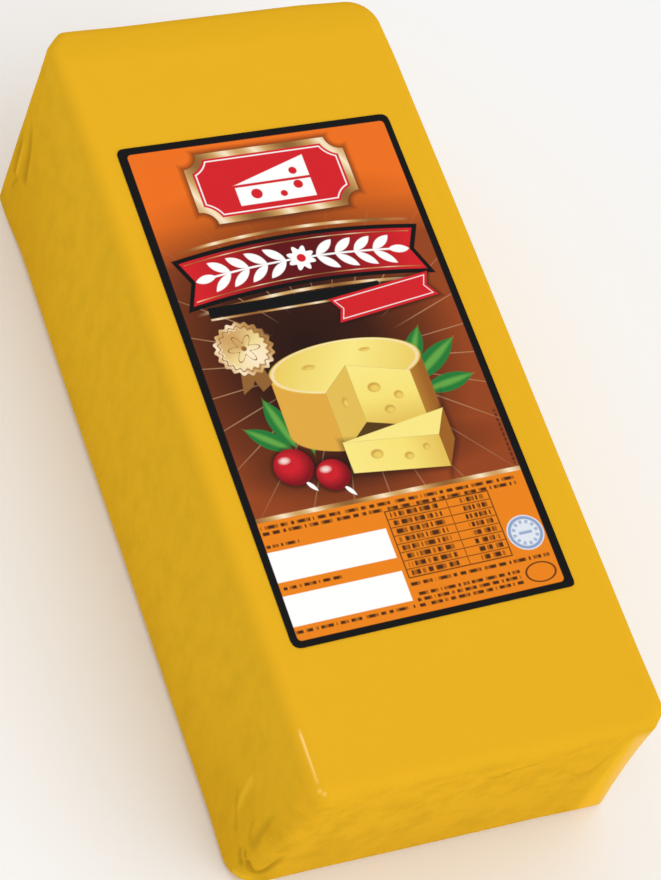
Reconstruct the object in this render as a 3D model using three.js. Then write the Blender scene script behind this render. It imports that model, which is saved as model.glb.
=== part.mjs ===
// A retail block of smoked gouda in its yellow shrink film, with one printed label lying on the top.
// Millimetres. +Z is up, +Y runs along the block, and the origin is on the base, under the middle
// of the block's length and width.
// The end with the gathered film at its foot, which the picture shows nearest, faces -Y.
import * as THREE from "three";

// Driving sizes of the block. The long walls lean in towards the top, and the two end walls lean
// out. The top lies a little to the left of the base, and the base a little to the far side.
const TOP_LENGTH = 281.4;
const TOP_WIDTH = 118;
const TOP_SHIFT_X = -2;
const BASE_SHIFT_Y = 1;
const BASE_LENGTH = 266.2;
const BASE_WIDTH = 130.6;
const HEIGHT = 83;
const EDGE_RADIUS = 4.5;
const SMALLEST_RADIUS = 0.6;

// Driving sizes of the label. Its lower edge is cut a little out of square.
const LABEL_LEFT = -51.1;
const LABEL_RIGHT = 43.6;
const LABEL_FAR = 90.5;
const LABEL_NEAR = -91.3;
const LABEL_SKEW = 1.3;
const LABEL_CORNER_RADIUS = 3;
const LABEL_CORNER_STEPS = 5;
const LABEL_THICKNESS = 0.4;

// How finely the block's skin is divided: finely round the corners and beside them, and finely
// up to the height that the folds reach.
const ARC_STEPS = 8;
const FINE_STEP = 2.4;
const FINE_REACH = 26;
const COARSE_STEP = 14;
const FINE_WALL_STEP = 2.4;
const FINE_WALL_TOP = 56;
const COARSE_WALL_STEP = 6.5;
const EDGE_STEPS = 4;

// The walls of a pressed cheese are never quite flat: slow waves run along, across and up them.
const WALL_WAVES = [
  { axis: "x", length: 23, start: 1.9, rise: 0.12 },
  { axis: "y", length: 31, start: 0.6, rise: 0.12 },
  { axis: "y", length: 17, start: -1.1, rise: 0.07 },
  { axis: "z", length: 19, start: 0.4, rise: 0.12 },
];

// The film is gathered at the foot of two upright corners, at this height above the base.
const GATHER_HEIGHT = 12;
const GATHER_DIMPLE = 0.9;
const GATHER_DIMPLE_WIDTH = 4;

// At the other two it is stretched flat across the corner, between two tight bends. The share
// is how far out the flat lies, and the sharpness sets how tight the bends are.
const FLAT_CUT_SHARE = Math.SQRT1_2;
const FLAT_CUT_SHARPNESS = 10;

// A fold is crisp where its path starts and dies away over the last part of its path.
const FOLD_FADE_IN = 0.12;
const FOLD_FADE_OUT = 0.5;

const FILM_COLOUR = 0xe8b123;
const PRINT_COLOUR = 0xd9701f;
const film = new THREE.MeshStandardMaterial({ color: FILM_COLOUR, roughness: 0.42, metalness: 0 });
const print = new THREE.MeshStandardMaterial({ color: PRINT_COLOUR, roughness: 0.35, metalness: 0 });

// The folds of the film by each upright corner, on the unrolled skin. Each follows a path of
// places: the first number is the distance round from the middle of the corner, positive on the
// long wall and negative on the end, and the second is the height above the base. Where rise is
// positive the fold stands proud, and where it is negative it is a crease. Width is its half-width.
const nearLeftFolds = [
  { rise: 0.75, width: 1.9, path: [[10.2, 18.5], [14.1, 26.6], [15.9, 34.3], [18.2, 43.3], [20, 50]] },
  { rise: -0.5, width: 1.8, path: [[17.9, 27.3], [20.2, 33], [22.5, 38], [23.5, 44]] },
  { rise: -0.85, width: 1.7, path: [[4.4, 27], [3.8, 33], [3.8, 39], [4.2, 45.5], [4.3, 53]] },
  { rise: 0.5, width: 1.5, path: [[1.4, 31], [1.6, 36], [1.8, 42], [2.2, 50]] },
  { rise: 0.4, width: 1.5, path: [[-2, 33.2], [-3, 39.8], [-3.8, 46.7], [-4.4, 53]] },
  { rise: -0.9, width: 1.4, path: [[2.9, 21.7], [-1, 18], [-2.6, 17.5], [-4.7, 21.7], [-5.4, 31]] },
  { rise: 0.6, width: 2.2, path: [[0.6, 9.5], [-3, 10.5], [-8, 14]] },
];
const nearRightFolds = [
  { rise: -0.4, width: 1.8, path: [[-5.5, 13], [-7.5, 20], [-9, 28]] },
  { rise: -0.3, width: 2, path: [[-13.5, 48], [-14.5, 42], [-15.5, 34]] },
  { rise: 0.6, width: 2, path: [[3.5, 12], [6.5, 24], [8.5, 40]] },
  { rise: -0.8, width: 1.9, path: [[5.5, 10], [10.5, 20], [14, 33]] },
  { rise: 0.7, width: 2, path: [[7, 9], [14, 14], [21, 22]] },
];
const farRightFolds = [
  { rise: -0.9, width: 1.8, path: [[2, 13], [6, 26], [8.5, 43]] },
  { rise: 0.8, width: 2, path: [[0.5, 14], [2, 28], [2.5, 46]] },
  { rise: 0.9, width: 2.1, path: [[4.5, 11], [13, 22], [18, 36]] },
  { rise: -0.8, width: 1.7, path: [[-1.5, 14], [-4, 25], [-5, 38]] },
  { rise: 0.8, width: 2, path: [[-4, 10], [-11, 17], [-17, 27]] },
  { rise: -0.6, width: 1.7, path: [[7, 9], [16, 13], [24, 20]] },
];
const farLeftFolds = [
  { rise: -0.95, width: 1.4, path: [[16.9, 25.4], [14.7, 31.5], [13.3, 36.3], [12.1, 41.4], [9.4, 55]] },
  { rise: 0.6, width: 1.5, path: [[13, 22], [12, 27.5], [11.3, 32], [9.6, 39], [8.4, 46]] },
  { rise: -0.6, width: 1.4, path: [[8.9, 20.5], [8.4, 26.5], [7.8, 32], [6.8, 40]] },
  { rise: -0.75, width: 1.4, path: [[14.2, 25.2], [13, 22.5], [11.7, 20], [11.8, 14]] },
  { rise: -0.6, width: 1.8, path: [[-7, 13], [-9, 24], [-11, 38]] },
  { rise: 0.5, width: 2, path: [[-11, 10], [-16, 18], [-22, 30]] },
];

// The upright corners, anticlockwise seen from above. A corner's arc starts at its start angle,
// and its radius runs from the foot's to the top's.
const nearRightCorner = { signX: 1, signY: -1, startAngle: -90, topRadius: 11.7, footRadius: 2.7 };
const farRightCorner = { signX: 1, signY: 1, startAngle: 0, topRadius: 11.6, footRadius: 15.3 };
const farLeftCorner = { signX: -1, signY: 1, startAngle: 90, topRadius: 10, footRadius: 2.6 };
const nearLeftCorner = { signX: -1, signY: -1, startAngle: 180, topRadius: 6.8, footRadius: 9.6 };
const corners = [
  { ...nearRightCorner, isCutFlat: true, folds: nearRightFolds },
  { ...farRightCorner, isCutFlat: false, folds: farRightFolds },
  { ...farLeftCorner, isCutFlat: true, folds: farLeftFolds },
  { ...nearLeftCorner, isCutFlat: false, folds: nearLeftFolds },
];

function smoothRamp(value, from, to) {
  return THREE.MathUtils.smoothstep(value, from, to);
}

function bell(distance, width) {
  return Math.exp(-((distance / width) ** 2));
}

// Half of the block's width and length at a height, before its edges are rounded.
function halfSizes(height) {
  const share = height / HEIGHT;
  return {
    halfWidth: THREE.MathUtils.lerp(BASE_WIDTH, TOP_WIDTH, share) / 2,
    halfLength: THREE.MathUtils.lerp(BASE_LENGTH, TOP_LENGTH, share) / 2,
  };
}

function cornerRadius(corner, height) {
  return THREE.MathUtils.lerp(corner.footRadius, corner.topRadius, height / HEIGHT);
}

// How far the rounded top and base edges draw the outline in at a height.
function edgeInset(height) {
  const fromEdge = Math.min(height, HEIGHT - height);
  const intoRound = Math.max(0, EDGE_RADIUS - fromEdge);
  return EDGE_RADIUS - Math.sqrt(EDGE_RADIUS ** 2 - intoRound ** 2);
}

// The heights of the rings, from the base to the top, closer together where the film is folded.
function ringHeights() {
  const heights = [];
  for (let step = 0; step <= EDGE_STEPS; step += 1) {
    const turn = (step / EDGE_STEPS) * (Math.PI / 2);
    heights.push(EDGE_RADIUS * (1 - Math.cos(turn)));
  }
  const fineRings = Math.round((FINE_WALL_TOP - EDGE_RADIUS) / FINE_WALL_STEP);
  for (let ring = 1; ring <= fineRings; ring += 1) {
    heights.push(EDGE_RADIUS + ring * FINE_WALL_STEP);
  }
  const lastFine = heights[heights.length - 1];
  const wallTop = HEIGHT - EDGE_RADIUS;
  const coarseRings = Math.round((wallTop - lastFine) / COARSE_WALL_STEP);
  for (let ring = 1; ring < coarseRings; ring += 1) {
    heights.push(THREE.MathUtils.lerp(lastFine, wallTop, ring / coarseRings));
  }
  for (let step = 0; step <= EDGE_STEPS; step += 1) {
    const turn = (step / EDGE_STEPS) * (Math.PI / 2);
    heights.push(wallTop + EDGE_RADIUS * Math.sin(turn));
  }
  return heights;
}

// Distances along a straight wall from its first corner, closer together near both corners.
function wallDistances(wallLength) {
  const distances = [];
  const fineSteps = Math.round(FINE_REACH / FINE_STEP);
  for (let step = 1; step <= fineSteps; step += 1) {
    distances.push(step * FINE_STEP);
  }
  const coarseLength = wallLength - 2 * fineSteps * FINE_STEP;
  const coarseSteps = Math.max(1, Math.round(coarseLength / COARSE_STEP));
  for (let step = 1; step < coarseSteps; step += 1) {
    distances.push(fineSteps * FINE_STEP + (coarseLength * step) / coarseSteps);
  }
  for (let step = fineSteps; step >= 1; step -= 1) {
    distances.push(wallLength - step * FINE_STEP);
  }
  return distances;
}

// One station for each upright line of the skin, going anticlockwise round the block.
// A station on a wall keeps its share of the way between the two corners at every height.
function skinStations() {
  const stations = [];
  const walls = [BASE_LENGTH, BASE_WIDTH, BASE_LENGTH, BASE_WIDTH];
  corners.forEach((corner, index) => {
    const next = corners[(index + 1) % corners.length];
    for (let step = 0; step <= ARC_STEPS; step += 1) {
      const turn = corner.startAngle + (90 * step) / ARC_STEPS;
      stations.push({ corner, next, angle: THREE.MathUtils.degToRad(turn), share: 0 });
    }
    const wallLength = walls[index] - corner.footRadius - next.footRadius;
    for (const distance of wallDistances(wallLength)) {
      const angle = THREE.MathUtils.degToRad(corner.startAngle + 90);
      stations.push({ corner, next, angle, share: distance / wallLength });
    }
  });
  return stations;
}

// How far out a corner's outline lies at an angle, as a share of its radius.
function outlineShare(corner, angle) {
  if (!corner.isCutFlat) {
    return 1;
  }
  const along = Math.abs(Math.cos(angle));
  const across = Math.abs(Math.sin(angle));
  const sides = [along, across, (along + across) * FLAT_CUT_SHARE];
  const sum = sides.reduce((total, side) => total + side ** FLAT_CUT_SHARPNESS, 0);
  return sum ** (-1 / FLAT_CUT_SHARPNESS);
}

// A point on a corner's arc. Where the rounded long edge draws the outline in by more than
// the corner's own radius, the corner keeps a small radius of its own.
function arcPoint(corner, angle, height) {
  const { halfWidth, halfLength } = halfSizes(height);
  const inset = edgeInset(height);
  const centreInset = Math.max(cornerRadius(corner, height), inset + SMALLEST_RADIUS);
  const reach = (centreInset - inset) * outlineShare(corner, angle);
  const x = corner.signX * (halfWidth - centreInset) + reach * Math.cos(angle);
  const y = corner.signY * (halfLength - centreInset) + reach * Math.sin(angle);
  return new THREE.Vector2(x, y);
}

// How far a place on the unrolled skin lies from a path, and how much of the path it has passed.
function followPath(path, place) {
  const points = path.map(([round, height]) => new THREE.Vector2(round, height));
  const legs = points.slice(1).map((end, index) => end.clone().sub(points[index]));
  const whole = legs.reduce((sum, leg) => sum + leg.length(), 0);
  let nearest = { distance: Infinity, passed: 0 };
  let gone = 0;
  legs.forEach((leg, index) => {
    const off = place.clone().sub(points[index]);
    const share = THREE.MathUtils.clamp(off.dot(leg) / leg.lengthSq(), 0, 1);
    const distance = off.sub(leg.clone().multiplyScalar(share)).length();
    if (distance < nearest.distance) {
      nearest = { distance, passed: (gone + share * leg.length()) / whole };
    }
    gone += leg.length();
  });
  return nearest;
}

// The relief of the film around one corner: its gather and its folds.
// round is the distance round the skin from the middle of the corner, positive on the long wall.
function cornerRelief(corner, round, height) {
  const fromGather = Math.hypot(round, height - GATHER_HEIGHT);
  let relief = corner.isCutFlat ? 0 : -GATHER_DIMPLE * bell(fromGather, GATHER_DIMPLE_WIDTH);
  for (const fold of corner.folds) {
    const { distance, passed } = followPath(fold.path, new THREE.Vector2(round, height));
    const fade = smoothRamp(passed, 0, FOLD_FADE_IN) * smoothRamp(1 - passed, 0, FOLD_FADE_OUT);
    relief += fold.rise * fade * bell(distance, fold.width);
  }
  return relief;
}

function wallWave(point) {
  return WALL_WAVES.reduce(
    (sum, wave) => sum + wave.rise * Math.sin(point[wave.axis] / wave.length + wave.start),
    0,
  );
}

// A point of the skin: the rounded outline, moved in or out by the film's relief.
function skinPoint(station, height) {
  const { corner, next, angle, share } = station;
  const start = arcPoint(corner, angle, height);
  const end = arcPoint(next, angle, height);
  const place = start.clone().lerp(end, share);
  const wallLength = start.distanceTo(end);
  const arcMiddle = THREE.MathUtils.degToRad(corner.startAngle + 45);
  const pastCorner = cornerRadius(corner, height) * (angle - arcMiddle) + wallLength * share;
  const beforeNext = cornerRadius(next, height) * (Math.PI / 4) + wallLength * (1 - share);
  const longWallFollows = corner.signX * corner.signY < 0;
  const side = longWallFollows ? 1 : -1;
  let relief = wallWave(new THREE.Vector3(place.x, place.y, height));
  relief += cornerRelief(corner, side * pastCorner, height);
  if (share > 0) {
    relief += cornerRelief(next, side * beforeNext, height);
  }
  relief *= smoothRamp(height, 0, EDGE_RADIUS) * smoothRamp(HEIGHT - height, 0, EDGE_RADIUS);
  const heightShare = height / HEIGHT;
  const x = place.x + relief * Math.cos(angle) + TOP_SHIFT_X * heightShare;
  const y = place.y + relief * Math.sin(angle) + BASE_SHIFT_Y * (1 - heightShare);
  return new THREE.Vector3(x, y, height);
}

// The block: rings of skin points from the flat base to the flat top, closed by two fans.
function makeBlock() {
  const stations = skinStations();
  const heights = ringHeights();
  const positions = [];
  const faces = [];
  for (const height of heights) {
    for (const station of stations) {
      positions.push(...skinPoint(station, height).toArray());
    }
  }
  const count = stations.length;
  for (let ring = 0; ring < heights.length - 1; ring += 1) {
    for (let index = 0; index < count; index += 1) {
      const after = (index + 1) % count;
      const low = ring * count;
      const high = low + count;
      faces.push(low + index, low + after, high + after);
      faces.push(low + index, high + after, high + index);
    }
  }
  const baseMiddle = positions.length / 3;
  positions.push(0, BASE_SHIFT_Y, 0);
  const topMiddle = baseMiddle + 1;
  positions.push(TOP_SHIFT_X, 0, HEIGHT);
  const topRing = (heights.length - 1) * count;
  for (let index = 0; index < count; index += 1) {
    const after = (index + 1) % count;
    faces.push(baseMiddle, after, index);
    faces.push(topMiddle, topRing + index, topRing + after);
  }
  const geometry = new THREE.BufferGeometry();
  geometry.setAttribute("position", new THREE.Float32BufferAttribute(positions, 3));
  geometry.setIndex(faces);
  geometry.computeVertexNormals();
  const block = new THREE.Mesh(geometry, film);
  block.name = "cheese_block";
  return block;
}

// The label: a rounded sheet, laid on the flat top to one side of the middle.
function makeLabel() {
  const outline = [
    new THREE.Vector2(LABEL_LEFT, LABEL_NEAR - LABEL_SKEW),
    new THREE.Vector2(LABEL_RIGHT, LABEL_NEAR + LABEL_SKEW),
    new THREE.Vector2(LABEL_RIGHT, LABEL_FAR),
    new THREE.Vector2(LABEL_LEFT, LABEL_FAR),
  ];
  const shape = new THREE.Shape();
  outline.forEach((corner, index) => {
    const before = outline[(index + outline.length - 1) % outline.length];
    const after = outline[(index + 1) % outline.length];
    const entry = corner.clone().add(before.clone().sub(corner).setLength(LABEL_CORNER_RADIUS));
    const exit = corner.clone().add(after.clone().sub(corner).setLength(LABEL_CORNER_RADIUS));
    if (index === 0) {
      shape.moveTo(entry.x, entry.y);
    } else {
      shape.lineTo(entry.x, entry.y);
    }
    shape.quadraticCurveTo(corner.x, corner.y, exit.x, exit.y);
  });
  shape.closePath();
  const geometry = new THREE.ExtrudeGeometry(shape, {
    depth: LABEL_THICKNESS,
    bevelEnabled: false,
    curveSegments: LABEL_CORNER_STEPS,
  });
  const label = new THREE.Mesh(geometry, print);
  label.name = "label";
  label.position.z = HEIGHT;
  return label;
}

const smokedGouda = new THREE.Group();
smokedGouda.add(makeBlock());
smokedGouda.add(makeLabel());

export default smokedGouda;
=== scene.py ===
import math

import bpy
import numpy as np
from mathutils import Matrix, Vector


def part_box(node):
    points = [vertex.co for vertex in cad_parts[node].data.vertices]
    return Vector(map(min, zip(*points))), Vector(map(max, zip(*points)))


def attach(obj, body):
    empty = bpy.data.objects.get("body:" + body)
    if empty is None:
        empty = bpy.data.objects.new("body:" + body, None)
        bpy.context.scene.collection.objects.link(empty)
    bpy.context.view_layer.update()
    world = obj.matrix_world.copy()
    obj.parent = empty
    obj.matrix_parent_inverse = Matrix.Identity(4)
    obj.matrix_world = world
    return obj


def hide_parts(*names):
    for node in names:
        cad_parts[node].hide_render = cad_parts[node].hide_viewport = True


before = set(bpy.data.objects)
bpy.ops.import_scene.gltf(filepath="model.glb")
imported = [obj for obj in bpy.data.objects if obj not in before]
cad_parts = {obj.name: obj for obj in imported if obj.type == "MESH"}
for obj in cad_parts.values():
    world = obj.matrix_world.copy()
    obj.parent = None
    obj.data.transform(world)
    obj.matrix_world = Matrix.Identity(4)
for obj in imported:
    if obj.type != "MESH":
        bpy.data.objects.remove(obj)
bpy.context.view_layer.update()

MM = 0.001

# The camera
# It looks down on the block's near left corner, at the photograph's angle and lean.
# The photograph's frame is 661 by 880 pixels, and the sensor's size lies along its long side.
CAMERA_PLACE = Vector((-0.3669, -0.4415, 0.8882))
CAMERA_TARGET = Vector((-0.0161, -0.0258, 0.0830))
CAMERA_LEAN = math.radians(24.985)
CAMERA_LENS = 128.74
CAMERA_SENSOR = 36

camera_data = bpy.data.cameras.new("camera")
camera_data.lens = CAMERA_LENS
camera_data.sensor_width = CAMERA_SENSOR
camera_data.clip_start = 0.01
camera_data.clip_end = 50
camera = bpy.data.objects.new("camera", camera_data)
level = (CAMERA_TARGET - CAMERA_PLACE).to_track_quat("-Z", "Y").to_matrix().to_4x4()
lean = Matrix.Rotation(CAMERA_LEAN, 4, "Z")
camera.matrix_world = Matrix.Translation(CAMERA_PLACE) @ level @ lean
bpy.context.scene.collection.objects.link(camera)
bpy.context.scene.camera = camera


# The floor and the light
# A plain pale floor under a wide pale room, with a soft key light from the front right and a
# soft light overhead. A long thin lamp on the left draws the line of gloss on the block's top
# left edge.
FLOOR_SIZE = 12
FLOOR_COLOUR = (0.95, 0.95, 0.95, 1)
ROOM_COLOUR = (1.0, 1.0, 1.0, 1)
ROOM_STRENGTH = 0.666
KEY_FROM = Vector((0.45, -0.85, 0.85))
KEY_STRENGTH = 0.76
KEY_ANGLE = math.radians(60)
OVERHEAD_FROM = Vector((0.2, 0.1, 1.0))
OVERHEAD_STRENGTH = 0.42
OVERHEAD_ANGLE = math.radians(60)
GLOSS_LAMP_PLACE = Vector((-0.1414, 0.0699, 0.6117))
GLOSS_LAMP_TARGET = Vector((-0.0577, -0.1260, 0.0828))
GLOSS_LAMP_LENGTH = 0.12
GLOSS_LAMP_WIDTH = 0.016
GLOSS_LAMP_POWER = 0.15


def new_material(name, constants):
    """A node material and its Principled shader, with the values that don't vary."""
    material = bpy.data.materials.new(name)
    material.use_nodes = True
    shader = material.node_tree.nodes["Principled BSDF"]
    for socket_name, value in constants.items():
        shader.inputs[socket_name].default_value = value
    return material, shader


bpy.ops.object.select_all(action="DESELECT")
bpy.ops.mesh.primitive_plane_add(size=FLOOR_SIZE, location=(0, 0, 0))
floor = bpy.context.object
floor.name = "floor"
floor_finish = {"Base Color": FLOOR_COLOUR, "Roughness": 0.9, "Specular IOR Level": 0.1}
floor.data.materials.append(new_material("pale floor", floor_finish)[0])

room = bpy.data.worlds.new("room")
room.use_nodes = True
background = room.node_tree.nodes["Background"]
background.inputs["Color"].default_value = ROOM_COLOUR
background.inputs["Strength"].default_value = ROOM_STRENGTH
bpy.context.scene.world = room
bpy.context.scene.view_settings.view_transform = "Standard"

suns = (
    ("key light", KEY_FROM, KEY_STRENGTH, KEY_ANGLE),
    ("overhead light", OVERHEAD_FROM, OVERHEAD_STRENGTH, OVERHEAD_ANGLE),
)
for sun_name, comes_from, strength, angle in suns:
    sun_data = bpy.data.lights.new(sun_name, "SUN")
    sun_data.energy = strength
    sun_data.angle = angle
    sun = bpy.data.objects.new(sun_name, sun_data)
    sun.rotation_euler = (-comes_from).to_track_quat("-Z", "Y").to_euler()
    bpy.context.scene.collection.objects.link(sun)

gloss_data = bpy.data.lights.new("gloss lamp", "AREA")
gloss_data.energy = GLOSS_LAMP_POWER
gloss_data.shape = "RECTANGLE"
gloss_data.size = GLOSS_LAMP_LENGTH
gloss_data.size_y = GLOSS_LAMP_WIDTH
gloss_lamp = bpy.data.objects.new("gloss lamp", gloss_data)
gloss_lamp.location = GLOSS_LAMP_PLACE
aim = GLOSS_LAMP_TARGET - GLOSS_LAMP_PLACE
gloss_lamp.rotation_euler = aim.to_track_quat("-Z", "Y").to_euler()
bpy.context.scene.collection.objects.link(gloss_lamp)


# The cheese block
# One long pressed block of smoked gouda, drawn tight into yellow shrink film. The film is
# gathered at the foot of two upright corners and stretched flat across the other two, and its
# folds fan out from all four.
BLOCK_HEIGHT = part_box("cheese_block")[1].z
TOP_LENGTH = 281.4 * MM
TOP_WIDTH = 118 * MM
TOP_SHIFT_X = -2 * MM
BASE_LENGTH = 266.2 * MM
BASE_WIDTH = 130.6 * MM
BASE_SHIFT_Y = 1 * MM
EDGE_RADIUS = 4.5 * MM
EDGE_CHANGE = (6 * MM, 30 * MM)
SMALLEST_RADIUS = 0.6 * MM
TINY = 1e-9
WALL_SHARE = 1 - 1e-6
OUT_OF_REACH = 1.0

# A flat cut across a corner lies square to its diagonal, and its edges are a little soft.
FACET_SHARE = 0.7071
FACET_SHARPNESS = 30

# The slow waves of the pressed walls: each one's length, start and share.
UNEVENNESS = 0.35 * MM
WAVES_ALONG = ((31 * MM, 0.6, 1), (17 * MM, -1.1, 0.6))
WAVES_ACROSS = ((23 * MM, 1.9, 1),)
WAVES_UP = ((19 * MM, 0.4, 1),)

# The film's gloss away from the corners, and where a corner's own gloss and painted sheen fade:
# round it, the gloss in shares of half its arc, and down from the top.
FLAT_GLOSS = 0.004
GLOSS_FADE = (0.8, 1.5)
PAINTED_SHEEN_FADE = (6 * MM, 15 * MM)
GLOSS_AND_SHEEN_BELOW_TOP = (1 * MM, 12 * MM)

# How many lines run over the skin each way, and how they crowd towards the corners.
LINES_ACROSS = 84
LINES_ALONG = 200
LINES_UP = 110
CROWDED_SHARE = 0.72
CROWDED_ACROSS = 26 * MM
CROWDED_ALONG = 38 * MM

# The folds of the film by one upright corner, on the unrolled skin, in millimetres: each is a
# path of places, the first number round the corner's middle and the second up from the base.
# Round is positive on the long wall and negative on the end. Rise is how far the fold stands
# proud, or lies sunk where it is negative, and width is its half-width. A path runs from where
# the fold is crisp to where it dies away.
NEAR_LEFT_FOLDS = [
    ([(20.4, 49), (19.2, 41.2), (17.9, 34), (16.2, 27), (14.2, 21)], 0.9, 1.45),
    ([(10.5, 17), (14.0, 22), (18.4, 27), (21.4, 32), (24, 38)], -0.45, 1.6),
    ([(4.0, 22), (4.1, 28), (4.3, 34), (4.6, 40), (5.0, 48), (5.4, 60)], -0.66, 1.9),
    ([(5.8, 26), (8.1, 31), (9.8, 35.8), (11, 42)], -0.42, 1.0),
    ([(1.6, 31), (2.4, 36), (3.0, 42), (3.8, 50), (4.2, 56)], 0.3, 1.2),
    ([(-1.0, 32.9), (-1.6, 39.8), (-2.0, 46), (-2.5, 53)], 0.25, 1.1),
    ([(-3.2, 30), (-4.4, 37), (-6.0, 44)], -0.3, 1.2),
    ([(4.6, 13.4), (5.2, 15.4), (6.0, 17.6), (6.8, 20.5)], -0.75, 0.65),
    ([(2.9, 16.0), (3.6, 18.0), (4.4, 20.2), (5.3, 23)], -0.75, 0.65),
    ([(2.4, 9.4), (3.0, 11.4), (3.7, 13.6), (4.5, 16)], -0.75, 0.75),
    ([(2.0, 18.2), (1.1, 15.0), (-0.5, 11.6), (-2.4, 9.8), (-4.0, 10.4), (-5.2, 13.0),
      (-5.9, 16.5), (-6.3, 22), (-6.5, 27), (-6.6, 33)], -1.15, 1.15),
    ([(3.4, 4.6), (1.6, 5.4), (0.0, 5.8), (-2.5, 5.8), (-5, 6.0)], 1.2, 1.5),
    ([(0.0, 16.8), (-1.8, 14.6), (-3.6, 14.0)], 0.3, 1.2),
]
NEAR_RIGHT_FOLDS = [
    ([(-9.5, 27), (-11.5, 23), (-14, 18)], -0.3, 1.3),
    ([(-11.5, 66), (-14.2, 59.5), (-15.4, 50.5), (-17.4, 44.7), (-20, 44), (-24.7, 51.5),
      (-30, 61)], -0.34, 1.4),
    ([(3.5, 12), (6.5, 24), (8.5, 40)], 0.6, 2.0),
    ([(5.5, 10), (10.5, 20), (14, 33)], -0.8, 1.9),
    ([(7.0, 9), (14, 14), (21, 22)], 0.7, 2.0),
    ([(-38, 69.5), (-45, 70.1), (-49.2, 67.8), (-51.8, 64.6), (-56, 66.4), (-60, 70.4),
      (-64, 71.5)], -0.55, 1.2),
    ([(-45, 73.2), (-50, 71.4), (-56, 71.6)], 0.3, 1.2),
    ([(-66, 72.0), (-72, 70.6), (-80, 71.2)], -0.3, 1.2),
]
FAR_LEFT_FOLDS = [
    ([(14.3, 23), (13.8, 27), (13.0, 31.5), (11.6, 37), (10, 42.5), (8.4, 48.3), (7.2, 54)],
     -0.85, 2.1),
    ([(9.2, 21.5), (9.0, 25), (8.6, 30.2), (8.3, 37.8), (7.2, 45)], 0.8, 1.6),
    ([(5.5, 18), (5.6, 22.1), (5.1, 28.3), (4.8, 35.9), (4.6, 43)], -0.8, 1.5),
    ([(6.6, 12.5), (7.2, 14.3), (8.3, 18), (9.5, 21.7), (11, 25)], -0.6, 1.0),
    ([(13.5, 20.5), (14.6, 17.6), (15.6, 15.0)], -0.2, 1.2),
    ([(17.0, 28), (16.5, 36), (15.5, 42)], 0.3, 2.0),
    ([(-7.0, 13), (-9.0, 24), (-11.0, 38)], -0.6, 1.8),
    ([(-11.0, 10), (-16, 18), (-22, 30)], 0.5, 2.0),
]
FAR_RIGHT_FOLDS = [
    ([(2.0, 13), (6.0, 26), (8.5, 43)], -0.9, 1.8),
    ([(0.5, 14), (2.0, 28), (2.5, 46)], 0.8, 2.0),
    ([(4.5, 11), (13, 22), (18, 36)], 0.9, 2.1),
    ([(-1.5, 14), (-4.0, 25), (-5.0, 38)], -0.8, 1.6),
    ([(-4.0, 10), (-11, 17), (-17, 27)], 0.8, 2.0),
    ([(7.0, 9), (16, 13), (24, 20)], -0.6, 1.7),
]

# For each upright corner: where it stands, its size at the top and at the foot, whether the
# film is stretched flat across it, the rounding of the top and base edges beside it, the depth
# of the gather at its foot and of the hollow down it, the film's gloss there, how strongly a
# yellow and pale sheen is painted into the film's colour there, and its folds.
PLAIN_CORNER = {"cut_flat": False, "gather": 0.0, "hollow": 0.0, "gloss": 0.0, "stretch": 0.0}
CORNERS = [
    {
        **PLAIN_CORNER,
        "side": (-1, -1),
        "radii": (6.8 * MM, 10.6 * MM),
        "edges": (4.5 * MM, 3 * MM),
        "gather": 0.35 * MM,
        "folds": NEAR_LEFT_FOLDS,
    },
    {
        **PLAIN_CORNER,
        "side": (1, -1),
        "radii": (9.5 * MM, 2.7 * MM),
        "cut_flat": True,
        "edges": (3.8 * MM, 3 * MM),
        "hollow": 0.9 * MM,
        "gloss": 0.34,
        "stretch": 1.0,
        "folds": NEAR_RIGHT_FOLDS,
    },
    {
        **PLAIN_CORNER,
        "side": (1, 1),
        "radii": (11.6 * MM, 15.3 * MM),
        "edges": (6 * MM, 4.5 * MM),
        "gather": 0.9 * MM,
        "gloss": 0.15,
        "stretch": 0.6,
        "folds": FAR_RIGHT_FOLDS,
    },
    {
        **PLAIN_CORNER,
        "side": (-1, 1),
        "radii": (10 * MM, 2.6 * MM),
        "cut_flat": True,
        "edges": (3.5 * MM, 1.2 * MM),
        "folds": FAR_LEFT_FOLDS,
    },
]

# A fold fades in and out over these shares of its path.
FOLD_FADE_IN = 0.12
FOLD_FADE_OUT = 0.5

# A gather is a pucker above a corner's foot, and a hollow runs down the corner. Round the
# gather's height, on the long wall's side, the film is painted darker as shade.
GATHER_HEIGHT = 12 * MM
GATHER_WIDTH = 4 * MM
HOLLOW_WIDTH = 9 * MM
GATHER_SHADE_FADE = (8 * MM, 75 * MM)
GATHER_SHADE_SIDE = (-3 * MM, 3 * MM)


def smooth(value, start, end):
    """A smooth step from 0 to 1 between start and end."""
    share = np.clip((value - start) / (end - start), 0, 1)
    return share * share * (3 - 2 * share)


def bell(distance, width):
    """A soft hump, 1 in the middle."""
    return np.exp(-((distance / width) ** 2))


def crowd(share, half, reach):
    """Places the skin's lines from -half to half, closer together within reach of the ends."""
    from_end = 1 - np.abs(share)
    near = from_end / CROWDED_SHARE * reach
    far = reach + (from_end - CROWDED_SHARE) / (1 - CROWDED_SHARE) * (half - reach)
    return np.sign(share) * (half - np.where(from_end < CROWDED_SHARE, near, far))


def half_sizes(height):
    """Half of the block's width and length at a height, before its edges are rounded."""
    share = height / BLOCK_HEIGHT
    half_width = (BASE_WIDTH + (TOP_WIDTH - BASE_WIDTH) * share) / 2
    half_length = (BASE_LENGTH + (TOP_LENGTH - BASE_LENGTH) * share) / 2
    return half_width, half_length


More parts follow.
